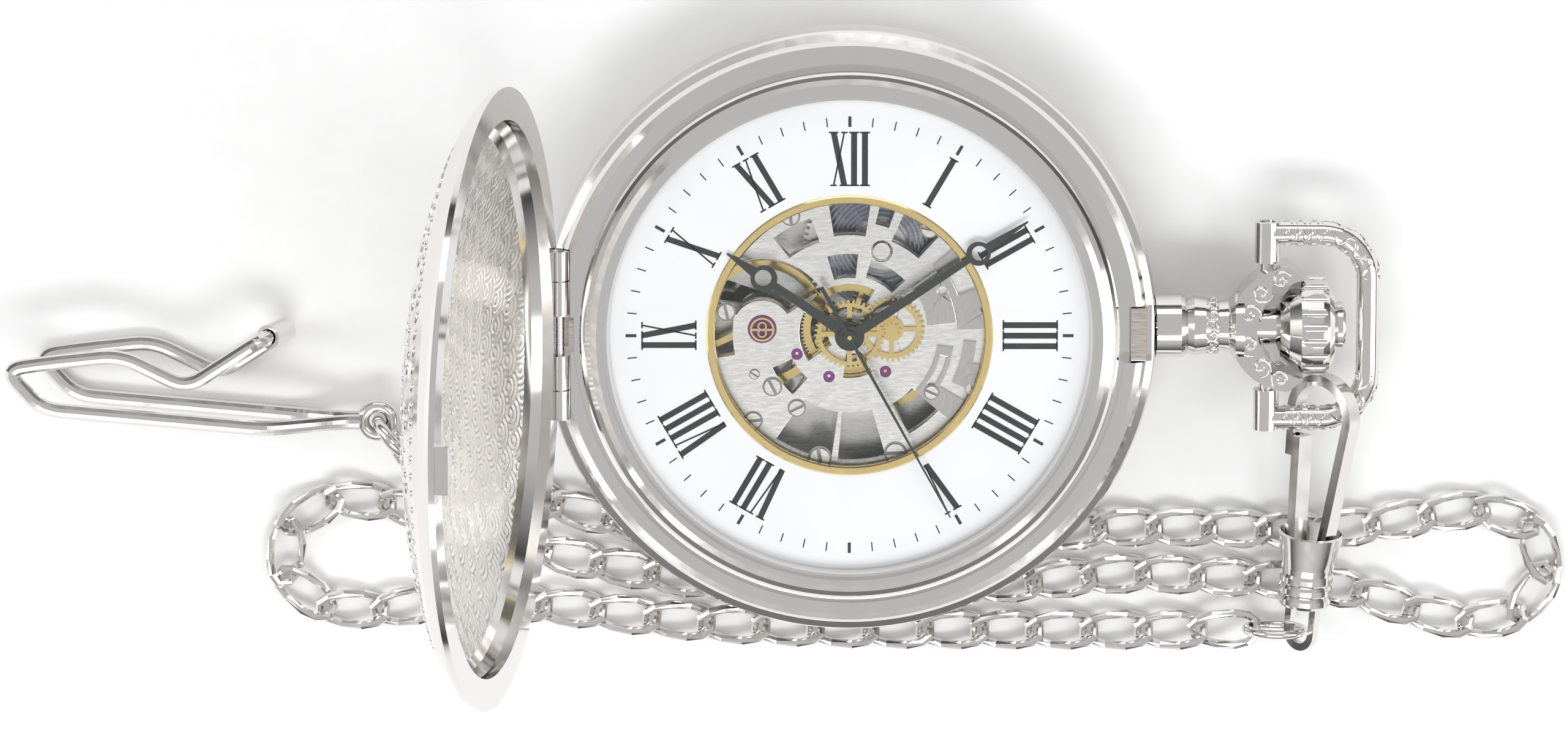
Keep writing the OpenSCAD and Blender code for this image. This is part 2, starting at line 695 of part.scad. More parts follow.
pallet_heading = heading(pallet_at, escape_at);
fork_heading = heading(pallet_at, balance_at);
fork_reach = dist(pallet_at, balance_at) - 0.75;

module pallet_fork() {
    color("gainsboro") translate(xyz(pallet_at, 0)) {
        difference() {
            union() {
                translate([0, 0, escape_z]) cylinder(r=0.4, h=0.15);
                rotate([0, 0, fork_heading]) translate([0, -0.13, escape_z])
                    cube([fork_reach - 0.15, 0.26, 0.15]);
                rotate([0, 0, fork_heading]) translate([fork_reach - 0.3, -0.3, escape_z])
                    cube([0.45, 0.6, 0.15]);
                for (s = [-1, 1]) rotate([0, 0, pallet_heading + 62 * s])
                    translate([0, -0.16, escape_z]) cube([1.55, 0.32, 0.15]);
            }
            rotate([0, 0, fork_heading]) translate([fork_reach - 0.13, -0.12, escape_z - 1])
                cube([1, 0.24, 3]);
        }
        translate([0, 0, escape_z + 0.15]) cylinder(r=0.13, h=7.5 - escape_z - 0.15);
        translate([0, 0, 3.95]) cylinder(r=0.13, h=escape_z - 3.95);
    }
}

module pallet_stones() {
    color("crimson") translate(xyz(pallet_at, 0))
        for (s = [-1, 1]) rotate([0, 0, pallet_heading + 62 * s])
            translate([1.56, s > 0 ? -0.36 : -0.24, escape_z]) cube([0.25, 0.6, 0.15]);
}

module balance_wheel() {
    color("gold") translate(xyz(balance_at, 0)) {
        difference() {
            translate([0, 0, balance_z]) cylinder(r=5, h=0.4);
            rotate([0, 0, 25]) spoke_cut(0.6, 4.35, 2, 0.5, balance_z, balance_z + 0.4);
        }
        translate([0, 0, balance_z + 0.4]) cylinder(r=0.35, h=0.5);
        translate([0, 0, balance_z + 0.9]) cylinder(r=0.13, h=1.2);
        translate([0, 0, 3]) cylinder(r=0.13, h=balance_z - 3);
    }
}

module roller() {
    color("crimson") translate(xyz(balance_at, 0)) {
        tube(0.95, 0.13, 4.9, 5.05);
        rotate([0, 0, fork_heading + 180]) translate([0.75, 0, escape_z]) cylinder(r=0.09, h=4.9 - escape_z);
    }
}

module hairspring() {
    color("lightsteelblue") translate(xyz(balance_at, 0)) {
        spiral(0.5, 2.1, 8, 0.05, balance_z + 0.55, balance_z + 0.7);
        translate([2.1, -0.12, balance_z + 0.5]) cube([0.3, 0.24, plate_z - balance_z - 0.5]);
    }
}

module barrel() {
    color("silver") translate(xyz(barrel_at, 0)) {
        difference() {
            union() {
                rotate([0, 0, barrel_turn]) gear(barrel_n, m_barrel, 5.6, 5.9);
                translate([0, 0, 4.5]) cylinder(r=5.35, h=1.4);
            }
            translate([0, 0, 4.65]) cylinder(r=5.1, h=2);
            translate([0, 0, 4]) cylinder(r=0.75, h=3);
        }
    }
}

module mainspring() {
    color("lightsteelblue") translate(xyz(barrel_at, 0)) spiral(2.2, 4.9, 8, 0.12, 4.7, 5.7);
}

module ratchet_wheel() {
    color("silver") translate(xyz(barrel_at, 0)) {
        rotate([0, 0, ratchet_turn]) gear(ratchet_n, m_ratchet, ratchet_z, ratchet_z + 0.4);
        translate([0, 0, ratchet_z + 0.4]) cylinder(r=0.65, h=7.6 - ratchet_z - 0.4);
        tube(1.9, 0.65, 4.75, 5.6);
    }
}

module crown_wheel() {
    color("silver") translate(xyz(crown_wheel_at, 0)) difference() {
        rotate([0, 0, 180 / crown_wheel_n]) gear(crown_wheel_n, m_wind, ratchet_z, ratchet_z + 0.4);
        translate([0, 0, 2]) cylinder(r=0.55, h=3);
    }
}

module winding_pinion() {
    color("silver") translate([10.5, 0, stem_z]) rotate([0, 90, 0]) difference() {
        union() {
            gear(winding_n, 0.2, 0, 0.75);
            translate([0, 0, -0.3]) cylinder(r=1.05, h=0.3);
        }
        translate([0, 0, -1]) cylinder(r=0.5, h=3);
    }
}

module clutch() {
    color("silver") translate([8.6, 0, stem_z]) rotate([0, 90, 0]) difference() {
        cylinder(r=1.05, h=1.3);
        tube(2, 0.8, 0.5, 0.8);
        translate([0, 0, -1]) cylinder(r=0.5, h=4);
    }
}

module barrel_bridge() {
    color("silver") difference() {
        union() {
            sector(4, 13.3, 5, 160, 3.45, 4.2);
            translate(xyz(crown_wheel_at, 3.45)) cylinder(r=1.6, h=0.75);
            translate(xyz(crown_wheel_at, 2.8)) cylinder(r=0.5, h=0.7);
            sector(12, 13.2, 10, 30, 4.1, plate_z);
            sector(12, 13.2, 115, 155, 4.1, plate_z);
        }
        translate([8, -1.3, 3.7]) cube([2.2, 2.6, 3]);
        translate([10.1, -2.1, 3]) cube([1.5, 4.2, 4]);
        translate([barrel_at[0], barrel_at[1], 3]) cylinder(r=0.7, h=3);
        translate([6, 0, stem_z]) rotate([0, 90, 0]) cylinder(r=0.55, h=9);
    }
}

module train_bridge() {
    color("silver") difference() {
        union() {
            sector(1, 13.3, 238, 345, bridge_z, 3.6);
            translate([0, 0, bridge_z]) cylinder(r=1.6, h=0.7);
            translate(xyz(pallet_at, bridge_z + 0.1)) cylinder(r=0.62, h=1.3);
            translate(xyz(escape_at, bridge_z)) cylinder(r=1.2, h=0.7);
            rotate([0, 0, 205]) translate([1, -0.7, bridge_z]) cube([3.6, 1.4, 0.7]);
            sector(12, 13.2, 240, 270, 3.5, plate_z);
            sector(12, 13.2, 310, 342, 3.5, plate_z);
        }
        for (p = [[0, 0], third_at, escape_at]) translate([p[0], p[1], 2]) cylinder(r=pivot_bore, h=3);
        translate([pallet_at[0], pallet_at[1], 3.8]) cylinder(r=pivot_bore, h=3);
        translate(xyz(crown_wheel_at, 2)) cylinder(r=3.6, h=3);
    }
}

module balance_cock() {
    color("silver") difference() {
        union() {
            sector(12, 13.3, 168, 196, bridge_z, plate_z);
            sector(8.4, 12.05, 171, 193, bridge_z, 3.6);
            translate(xyz(balance_at, bridge_z)) cylinder(r=2, h=0.7);
        }
        translate([balance_at[0], balance_at[1], 2]) cylinder(r=pivot_bore, h=3);
    }
}

module bridge_screws() {
    color("steelblue") {
        for (a = [20, 135]) rotate([0, 0, a]) translate([12.6, 0, 3.15]) cylinder(r=0.5, h=0.3);
        for (a = [182, 255, 326]) rotate([0, 0, a]) translate([12.6, 0, 2.6]) cylinder(r=0.5, h=0.3);
        for (a = [45, 160, 225, 290]) rotate([0, 0, a]) translate([12.4, 0, plate_top])
            cylinder(r=0.55, h=0.25);
    }
}

// ---- chain, clasp and belt clip ----

// Twisted oval link from a to b, as rings of points around its wire
link_overlap = 1.1;
link_rings = 12;
link_sides = 8;

function signed_pow(v, e) = (v < 0 ? -1 : 1) * pow(abs(v), e);

// Point on the wire's centre line of a link with the half length h
function link_point(h, t) =
    let (
        x = h * signed_pow(cos(t), 0.9),
        y = link_half * signed_pow(sin(t), 0.6),
        turn = -link_twist * x / h
    ) [x, y * cos(turn), y * sin(turn)];

function link_ring(h, t) =
    let (
        along = unit(link_point(h, t + 1) - link_point(h, t - 1)),
        turn = -link_twist * signed_pow(cos(t), 0.9),
        up = [0, -sin(turn), cos(turn)],
        e1 = unit(up - (up * along) * along),
        e2 = cross(along, e1)
    ) [for (k = [0:link_sides - 1]) let (a = (k + 0.5) * 360 / link_sides)
        link_point(h, t) + link_wire * (cos(a) * e1 + sin(a) * e2)];

module chain_link(a, b) {
    d = b - a;
    h = (norm(d) + link_overlap) / 2;
    points = [for (i = [0:link_rings - 1]) each link_ring(h, (i + 0.5) * 360 / link_rings)];
    faces = [
        for (i = [0:link_rings - 1]) for (k = [0:link_sides - 1])
            let (j = (i + 1) % link_rings, l = (k + 1) % link_sides)
            for (f = [0, 1]) f == 0
                ? [i * link_sides + k, j * link_sides + k, j * link_sides + l]
                : [i * link_sides + k, j * link_sides + l, i * link_sides + l]
    ];
    translate((a + b) / 2) rotate([0, 0, atan2(d[1], d[0])]) rotate([0, -asin(d[2] / norm(d)), 0])
        polyhedron(points=points, faces=faces);
}

module chain_part(k) {
    color("silver") for (i = [floor(chain_n * k / 4):floor(chain_n * (k + 1) / 4) - 1])
        chain_link(joint_at(i), joint_at(i + 1));
}

module chain_a() {
    chain_part(0);
}

module chain_b() {
    chain_part(1);
}

module chain_c() {
    chain_part(2);
}

module chain_d() {
    chain_part(3);
}

module clasp_frame() {
    translate(clasp_at) rotate([0, 0, -clasp_lean]) rotate([clasp_rise, 0, 0]) rotate([0, -clasp_roll, 0])
        children();
}

module clasp_ring() {
    color("silver") translate(clasp_ring_at) rotate([0, -clasp_ring_slope, 0]) rotate([clasp_ring_tilt, 0, 0])
        rotate_extrude() translate([clasp_ring_r, 0]) circle(r=0.36);
}

// Straight strip in the clasp's plane from a to b
module strip(a, b, thick, wide) {
    translate([a[0], a[1], -wide / 2]) rotate([0, 0, heading(a, b)])
        translate([0, -thick / 2, 0]) cube([dist(a, b), thick, wide]);
}

module strip_arc(at, r, a0, a1, thick, wide) {
    translate([at[0], at[1], 0]) sector(r - thick / 2, r + thick / 2, a0, a1, -wide / 2, wide / 2);
}

module clasp_hook() {
    color("silver") clasp_frame() {
        strip_arc([0, 0], 1.25, 180, 360, 0.6, 0.6);
        strip([-1.25, -0.02], [-1.25, 5.3], 0.6, 0.6);
        strip([1.25, -0.02], [1.25, 5.3], 0.6, 0.6);
        strip([1.25, 5.1], [2.9, 17.9], 0.8, 1.2);
        strip_arc([0, 17.9], 2.9, -6, 184, 0.8, 1.2);
        strip([-2.9, 17.9], [-2.72, 14], 0.7, 1.1);
    }
}

module clasp_sleeve() {
    bore = 1.8;
    profile = [
        [bore, 2.3], [1.95, 2.3], [2.1, 2.55], [2.1, 2.95], [1.95, 3.2], [2.1, 3.45], [2.1, 3.85],
        [1.95, 4.1], [2.1, 4.35], [2.1, 4.75], [1.98, 5], [2.05, 5.5], [2.6, 8.2], [2.4, 8.3], [1.87, 5.5]
    ];
    color("silver") clasp_frame() rotate([-90, 0, 0]) rotate_extrude() polygon(profile);
}

module clasp_gate() {
    color("silver") clasp_frame() difference() {
        union() {
            strip([-1.25, 5.6], [-1.55, 9], 0.8, 1.5);
            strip([-1.55, 8.9], [-1.95, 15.7], 0.8, 1.5);
        }
        strip([-1.95, 9], [-2.4, 16.5], 0.5, 0.8);
    }
}

module clip_ring() {
    color("silver") translate(clip_eye_at + (clip_ring_r + 0.05) * clip_ring_reach)
        rotate([0, 0, clip_ring_heading]) rotate([90, 0, 0])
            rotate_extrude() translate([clip_ring_r, 0]) circle(r=0.5);
}

// Side profile of the clip, from the neck, round the bend and back to the roller
clip_side = [
    [-45.6, -8.2], [-63.2, -6.6], [-66, -3.4], [-62.6, -2.9], [-57, -2.3], [-51.8, -4.9], [-46, -1.1]
];

clip_low = clip_wire + 0.02;
clip_high = clip_low + clip_depth;
clip_last = len(clip_side) - 1;

module belt_clip() {
    upper = [for (i = [0:clip_last]) xyz(clip_side[i], clip_high)];
    lower = [for (i = [clip_last:-1:0]) xyz(clip_side[i] + clip_skew, clip_low)];
    neck = clip_eye_at - [2.7, 0, 0];
    rise = [0, 0, 0.62];
    reach = [1.3, 0, 0];
    color("silver") swept_wire(rounded(concat(
        [neck + reach + rise, neck + rise], upper, lower, [neck - rise, neck + reach - rise]
    ), 1.5, 6), clip_wire);
}

module clip_eye() {
    color("silver") translate(clip_eye_at) rotate_extrude() translate([clip_eye_r, 0]) circle(r=0.5);
}

module clip_roller() {
    a = xyz(clip_side[clip_last], clip_high);
    b = xyz(clip_side[clip_last] + clip_skew, clip_low);
    color("silver") difference() {
        rod(a + 0.24 * (b - a), a + 0.76 * (b - a), 0.95);
        rod(a, b, 0.66);
    }
}

case_back();
case_band();
bezel();
crystal();
hinge_pin();
lift_spring();
pendant();
dial();
aperture_ring();
movement_ring();
main_plate();
plate_jewels();
keyless_cover();
setting_lever();
lever_spring();
barrel_bridge();
train_bridge();
balance_cock();
shock_spring();
bridge_screws();
hairspring();
chain_a();
chain_b();
chain_c();
chain_d();
clasp_ring();
clip_ring();
front_lid();
latch();
bow();
crown();
winding_pinion();
clutch();
crown_wheel();
ratchet_wheel();
barrel();
mainspring();
centre_wheel();
cannon_pinion();
minute_hand();
minute_wheel();
hour_wheel();
hour_hand();
third_wheel();
fourth_wheel();
seconds_hand();
escape_wheel();
pallet_fork();
pallet_stones();
balance_wheel();
roller();
clasp_hook();
clasp_sleeve();
clasp_gate();
belt_clip();
clip_eye();
clip_roller();
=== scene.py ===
"""Look of the open-dial hunter pocket watch: finishes, dial print, engraving, light and camera.

Shapes are worked out in millimetres and scaled to metres when a piece is made. The lid's relief
is drawn on the closed lid and turned open with it.
"""
import math
import random

import bpy
from mathutils import Matrix, Vector


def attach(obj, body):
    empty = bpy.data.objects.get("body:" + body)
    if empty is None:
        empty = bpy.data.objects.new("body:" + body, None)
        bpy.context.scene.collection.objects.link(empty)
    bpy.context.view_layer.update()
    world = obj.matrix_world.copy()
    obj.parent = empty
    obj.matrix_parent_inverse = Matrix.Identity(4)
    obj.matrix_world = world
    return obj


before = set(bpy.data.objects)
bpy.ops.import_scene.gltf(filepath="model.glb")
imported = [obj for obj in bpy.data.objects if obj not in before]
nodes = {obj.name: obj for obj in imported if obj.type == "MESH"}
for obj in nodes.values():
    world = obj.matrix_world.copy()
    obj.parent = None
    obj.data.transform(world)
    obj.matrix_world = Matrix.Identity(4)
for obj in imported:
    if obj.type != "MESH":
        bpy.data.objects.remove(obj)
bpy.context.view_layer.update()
MM = 0.001
rng = random.Random(7)


# ---- materials ----

def new_material(name):
    mat = bpy.data.materials.new(name)
    mat.use_nodes = True
    return mat, mat.node_tree, mat.node_tree.nodes["Principled BSDF"]


def noise(tree, scale, detail=3.0, stretch=None):
    coord = tree.nodes.new("ShaderNodeTexCoord")
    tex = tree.nodes.new("ShaderNodeTexNoise")
    tex.inputs["Scale"].default_value = scale
    tex.inputs["Detail"].default_value = detail
    if stretch:
        mapping = tree.nodes.new("ShaderNodeMapping")
        mapping.inputs["Scale"].default_value = stretch
        tree.links.new(coord.outputs["Object"], mapping.inputs["Vector"])
        tree.links.new(mapping.outputs["Vector"], tex.inputs["Vector"])
    else:
        tree.links.new(coord.outputs["Object"], tex.inputs["Vector"])
    return tex


def ramp(tree, source, low, high, a, b):
    node = tree.nodes.new("ShaderNodeMapRange")
    node.inputs["From Min"].default_value = low
    node.inputs["From Max"].default_value = high
    node.inputs["To Min"].default_value = a
    node.inputs["To Max"].default_value = b
    tree.links.new(source, node.inputs["Value"])
    return node.outputs["Result"]


def mix_colour(tree, factor, a, b):
    node = tree.nodes.new("ShaderNodeMix")
    node.data_type = "RGBA"
    node.inputs["A"].default_value = (*a, 1)
    node.inputs["B"].default_value = (*b, 1)
    tree.links.new(factor, node.inputs["Factor"])
    return node.outputs["Result"]


def bump(tree, shader, height, strength, distance):
    node = tree.nodes.new("ShaderNodeBump")
    node.inputs["Strength"].default_value = strength
    node.inputs["Distance"].default_value = distance
    tree.links.new(height, node.inputs["Height"])
    tree.links.new(node.outputs["Normal"], shader.inputs["Normal"])


def metal(name, colour, dark, rough, grain=None, grain_depth=0.0, scale=900.0):
    """Metal whose colour and gloss drift a little; grain stretches its fine brush marks."""
    mat, tree, shader = new_material(name)
    shader.inputs["Metallic"].default_value = 1.0
    soft = noise(tree, scale * 0.12)
    tree.links.new(mix_colour(tree, soft.outputs["Fac"], colour, dark), shader.inputs["Base Color"])
    fine = noise(tree, scale, 4.0, grain)
    tree.links.new(ramp(tree, fine.outputs["Fac"], 0.3, 0.7, rough * 0.8, rough * 1.25),
                   shader.inputs["Roughness"])
    if grain_depth:
        bump(tree, shader, fine.outputs["Fac"], 0.5, grain_depth)
    return mat


def plain(name, colour, rough, coat=0.0):
    """Non-metal whose colour and gloss drift a little."""
    mat, tree, shader = new_material(name)
    shader.inputs["Coat Weight"].default_value = coat
    soft = noise(tree, 300.0)
    shade = tuple(c * 0.93 for c in colour)
    tree.links.new(mix_colour(tree, soft.outputs["Fac"], colour, shade), shader.inputs["Base Color"])
    tree.links.new(ramp(tree, soft.outputs["Fac"], 0.3, 0.7, rough * 0.9, rough * 1.1),
                   shader.inputs["Roughness"])
    return mat


def glass(name):
    """Thin clear glass, shown by its reflections only."""
    mat, tree, shader = new_material(name)
    shader.inputs["Roughness"].default_value = 0.02
    shader.inputs["Alpha"].default_value = 0.025
    smear = noise(tree, 120.0)
    tree.links.new(mix_colour(tree, smear.outputs["Fac"], (0.75, 0.82, 0.78), (0.8, 0.86, 0.82)),
                   shader.inputs["Base Color"])
    return mat


SILVER = (0.80, 0.78, 0.76)
SILVER_DARK = (0.72, 0.70, 0.68)
polished = metal("polished plate", SILVER, SILVER_DARK, 0.10)
satin = metal("satin plate", (0.82, 0.80, 0.78), (0.74, 0.72, 0.70), 0.3)
chain_metal = metal("chain plate", SILVER, SILVER_DARK, 0.13)
brushed = metal("brushed steel", (0.50, 0.46, 0.42), (0.40, 0.36, 0.33), 0.32, (1, 8, 1), 0.00002, 700.0)
movement_steel = metal("movement steel", (0.86, 0.85, 0.83), (0.74, 0.73, 0.71), 0.26,
                       (1, 6, 1), 0.000006, 1500.0)
bright_steel = metal("bright steel", (0.66, 0.64, 0.62), (0.54, 0.52, 0.5), 0.2,
                     (6, 1, 1), 0.000004, 1500.0)
# Dark steel colours the bridge screws, and is also painted shade on the screw seats and in the screw slots
dark_steel_and_painted_shade = metal("dark steel and painted shade", (0.34, 0.33, 0.32), (0.22, 0.22, 0.22), 0.3)
gilt = metal("gilt brass", (0.95, 0.76, 0.36), (0.86, 0.64, 0.26), 0.16)
ruby = plain("ruby", (0.55, 0.02, 0.16), 0.08, coat=0.6)
purple_jewel = plain("purple jewel", (0.2, 0.02, 0.2), 0.08, coat=0.6)
dial_white = plain("dial white", (0.93, 0.94, 0.96), 0.5)
print_black = plain("print black", (0.008, 0.008, 0.01), 0.7)
hand_black = plain("hand black", (0.01, 0.01, 0.012), 0.55)
ring_grey = plain("ring grey", (0.6, 0.6, 0.6), 0.5)
blue_steel = metal("blued steel", (0.30, 0.34, 0.45), (0.22, 0.25, 0.36), 0.2)
crystal_glass = glass("crystal glass")

FINISH = {
    polished: ["case_back", "case_band", "bezel", "front_lid", "pendant", "bow", "crown"],
    chain_metal: ["chain_a", "chain_b", "chain_c", "chain_d", "clasp_ring", "clip_ring", "clasp_hook",
                  "clasp_sleeve", "clasp_gate", "belt_clip", "clip_eye", "clip_roller"],
    brushed: ["latch", "lift_spring"],
    movement_steel: ["hinge_pin", "main_plate", "barrel_bridge", "train_bridge", "balance_cock",
                     "barrel", "cannon_pinion", "crown_wheel", "ratchet_wheel", "winding_pinion",
                     "clutch", "pallet_fork", "escape_wheel"],
    bright_steel: ["keyless_cover", "setting_lever", "lever_spring"],
    blue_steel: ["hairspring", "mainspring"],
    dark_steel_and_painted_shade: ["bridge_screws"],
    gilt: ["aperture_ring", "shock_spring", "centre_wheel", "minute_wheel", "hour_wheel", "third_wheel",
           "fourth_wheel", "balance_wheel"],
    ruby: ["pallet_stones", "roller"],
    purple_jewel: ["plate_jewels"],
    dial_white: ["dial"],
    ring_grey: ["movement_ring"],
    hand_black: ["hour_hand", "minute_hand", "seconds_hand"],
    crystal_glass: ["crystal"],
}
for mat, names in FINISH.items():
    for name in names:
        data = nodes[name].data
        data.materials.clear()
        data.materials.append(mat)

# Fine bevels catch the light along the edges of the plates and levers
for name in ("main_plate", "keyless_cover", "setting_lever", "lever_spring", "latch"):
    weld = nodes[name].modifiers.new("weld", "WELD")
    weld.merge_threshold = 0.001 * MM
    edge = nodes[name].modifiers.new("edge", "BEVEL")
    edge.width = 0.06 * MM
    edge.segments = 2
    edge.limit_method = "ANGLE"
    edge.angle_limit = 0.7


# ---- mesh helpers ----

def piece(name, verts, faces, mat, body, smooth=True):
    """Makes the piece from points in millimetres, and lets it ride on the body."""
    mesh = bpy.data.meshes.new(name)
    mesh.from_pydata([tuple(c * MM for c in v) for v in verts], [], faces)
    mesh.materials.append(mat)
    mesh.validate()
    obj = bpy.data.objects.new(name, mesh)
    bpy.context.scene.collection.objects.link(obj)
    if smooth:
        mesh.polygons.foreach_set("use_smooth", [True] * len(mesh.polygons))
    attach(obj, body)


def prisms(outlines, z0, z1):
    """Upright prisms over convex outlines."""
    verts, faces = [], []
    for pts in outlines:
        n, base = len(pts), len(verts)
        verts += [(x, y, z0) for x, y in pts] + [(x, y, z1) for x, y in pts]
        faces.append([base + n + i for i in range(n)])
        faces.append([base + i for i in reversed(range(n))])
        faces += [[base + i, base + (i + 1) % n, base + n + (i + 1) % n, base + n + i] for i in range(n)]
    return verts, faces


def beads(paths, width, height, sides=8):
    """Raised rounded lines that taper at both ends; a path is a list of (point, outward normal)."""
    verts, faces = [], []
    for path in paths:
        base, n = len(verts), len(path)
        for i, (p, up) in enumerate(path):
            ahead = path[min(n - 1, i + 1)][0] - path[max(0, i - 1)][0]
            side = ahead.cross(up).normalized()
            grow = 0.3 + 0.7 * math.sin(math.pi * (i + 0.5) / n) ** 0.6
            for k in range(sides):
                a = 2 * math.pi * k / sides
                verts.append(p + grow * (width * math.cos(a) * side + height * math.sin(a) * up))
        for i in range(n - 1):
            for k in range(sides):
                j = (k + 1) % sides
                a, b = base + i * sides, base + (i + 1) * sides
                faces.append([a + k, a + j, b + j, b + k])
        faces.append([base + k for k in reversed(range(sides))])
        faces.append([base + (n - 1) * sides + k for k in range(sides)])
    return verts, faces


def scroll(x, y, size, turns, heading, hand, steps=34):
    """Flat spiral that unrolls from its eye at (x, y); hand is 1 or -1."""
    out = []
    for i in range(steps + 1):
        t = i / steps
        a = heading + hand * turns * 2 * math.pi * t
        r = size * (0.12 + 0.88 * t ** 1.3)
        out.append((x + r * math.cos(a), y + r * math.sin(a)))
    return out


def joined(parts):
    """One (vertices, faces) pair from several."""
    verts, faces = [], []
    for v, f in parts:
        faces += [[k + len(verts) for k in face] for face in f]
        verts += v
    return verts, faces


def polar(r, a):
    return r * math.cos(a), r * math.sin(a)


# ---- dial print ----

DIAL_Z = 8.7
THICK, THIN, TALL, SERIF = 0.46, 0.13, 4.3, 0.12
WIDE, NARROW = 0.74, 0.5
ADVANCE = {"I": 0.84, "V": 1.36, "X": 1.5}
NUMERALS = {12: "XII", 1: "I", 2: "II", 3: "III", 4: "IIII", 5: "V", 7: "VII", 8: "VIII", 9: "IX",
            10: "X", 11: "XI"}
NUMERAL_R, TICK_R = 14.05, 17.0
MAJOR_TICK, MINOR_TICK = (0.84, 0.24), (0.72, 0.09)


def bar(x0, y0, x1, y1, w):
    """Slanted stroke with level ends of the width w."""
    return [(x0 - w / 2, y0), (x0 + w / 2, y0), (x1 + w / 2, y1), (x1 - w / 2, y1)]


def top_serif(x, w):
    return bar(x, TALL / 2 - SERIF, x, TALL / 2, w)


def low_serif(x, w):
    return bar(x, -TALL / 2, x, -TALL / 2 + SERIF, w)


def glyph(letter):
    top, low = TALL / 2, -TALL / 2
    if letter == "I":
        return [bar(0, low, 0, top, THICK), low_serif(0, 0.78), top_serif(0, 0.78)]
    if letter == "V":
        return [bar(0, low, -0.42, top, THICK), bar(0.08, low, 0.44, top, THIN),
                top_serif(-0.42, WIDE), top_serif(0.44, NARROW)]
    return [bar(0.42, low, -0.42, top, THICK), bar(-0.42, low, 0.42, top, THIN),
            low_serif(0.42, WIDE), low_serif(-0.42, NARROW),
            top_serif(-0.42, WIDE), top_serif(0.42, NARROW)]


def on_dial(pts, hour, radius):
    """Turns points (across, outward) to their hour on the dial."""
    a = math.radians(90 - 30 * hour)
    out, along = (math.cos(a), math.sin(a)), (math.sin(a), -math.cos(a))
    return [((radius + y) * out[0] + x * along[0], (radius + y) * out[1] + x * along[1]) for x, y in pts]


outlines = []
for hour, word in NUMERALS.items():
    x = -sum(ADVANCE[c] for c in word) / 2
    for c in word:
        for stroke in glyph(c):
            shifted = [(px + x + ADVANCE[c] / 2, py) for px, py in stroke]
            outlines.append(on_dial(shifted, hour, NUMERAL_R))
        x += ADVANCE[c]
for minute in range(60):
    length, width = MINOR_TICK if minute % 5 else MAJOR_TICK
    outlines.append(on_dial(bar(0, -length / 2, 0, length / 2, width), minute / 5, TICK_R))

# Every outline runs the same way round, so that all faces look outward
outlines = [o if sum(o[i][0] * o[i - 1][1] - o[i - 1][0] * o[i][1] for i in range(4)) < 0 else o[::-1]
            for o in outlines]
piece("dial_print", *prisms(outlines, DIAL_Z - 0.01, DIAL_Z + 0.02), print_black, "case", smooth=False)


# ---- screws of the movement ----

SLOT = 0.2
PLATE_Z, SPRING_Z, LEVER_Z = 7.7, 7.9, 7.95
# Place, level and head radius
SCREWS = [
    (-7.4, -3.3, PLATE_Z, 0.34), (-6.0, -4.3, PLATE_Z, 0.62), (-4.1, -6.0, PLATE_Z, 0.58),
    (-9.6, 1.7, PLATE_Z, 0.6), (-7.5, -7.0, PLATE_Z, 0.6), (6.4, -4.7, SPRING_Z, 0.5),
    (-2.3, -10.0, PLATE_Z, 0.75), (3.6, -9.6, PLATE_Z, 0.72), (-4.6, 9.3, PLATE_Z, 0.62),
    (6.2, 8.3, PLATE_Z, 0.6), (9.6, -4.4, LEVER_Z, 0.5),
]


def arc(x, y, r, start, sweep, n):
    """Points on an arc, from its start to its end."""
    return [(x + px, y + py) for px, py in (polar(r, start + sweep * i / n) for i in range(n + 1))]


def disc(x, y, r):
    return arc(x, y, r, 0, 2 * math.pi, 28)[:-1]


def half_disc(x, y, r, heading):
    """Half of a slotted head, on the side that heading points to."""
    gap = math.asin(SLOT)
    return arc(x, y, r, heading - math.pi / 2 + gap, math.pi - 2 * gap, 14)


# The dark discs under the heads are painted shade: they darken the sunk seat round each head and the floor
# of its slot
seat_shades, heads = [], []
for x, y, z, r in SCREWS:
    turn = rng.uniform(0, math.pi)
    seat_shades.append(prisms([disc(x, y, r * 1.25)], z - 0.04, z + 0.04))
    heads.append(prisms([half_disc(x, y, r, turn), half_disc(x, y, r, turn + math.pi)], z + 0.03, z + 0.17))
piece("screw_seat_painted_shade", *joined(seat_shades), dark_steel_and_painted_shade, "case", smooth=False)
piece("screw_heads", *joined(heads), movement_steel, "case", smooth=False)


# ---- lid: snailed inside and scrolled outside ----

LID_OPEN_DEG = 100
LID_TOP, LID_DROP, LID_POWER, LID_SPAN = 14.2, 4.6, 2.6, 23.5
LID_STEPS = [0, 2.5, 5, 7.5, 10, 12.5, 15, 17, 18.5, 20, 21.4, 22.6]
HINGE = Vector((-22.6, 0, 8.3))
LID_OPEN = (Matrix.Translation(HINGE) @ Matrix.Rotation(math.radians(-LID_OPEN_DEG), 4, "Y")
            @ Matrix.Translation(-HINGE))


def lid_out(r):
    """Height of the closed lid's outside, whose profile is straight between its steps."""
    for a, b in zip(LID_STEPS, LID_STEPS[1:]):
        if r <= b:
            za, zb = (LID_TOP - LID_DROP * (q / LID_SPAN) ** LID_POWER for q in (a, b))
            return za + (zb - za) * (r - a) / (b - a)


SNAIL_R, SNAIL_EYE = 20.0, 0.05
ROW_STEP, COLUMN_STEP = 2.1, 2.1 * 0.92
SPOT_R, SPOT_PITCH, SPOT_DEPTH = 1.62, 0.5, 0.03
SNAIL_INSET = 0.65


def spots_near(x, y):
    """Centres of the turned circles around a point, those on top first."""
    column = int(round(x / COLUMN_STEP))
    for c in (column + 1, column, column - 1):
        shift = 0.5 * (c % 2)
        row = int(round(y / ROW_STEP - shift))
        for w in (row + 1, row, row - 1):
            yield c * COLUMN_STEP, (w + shift) * ROW_STEP


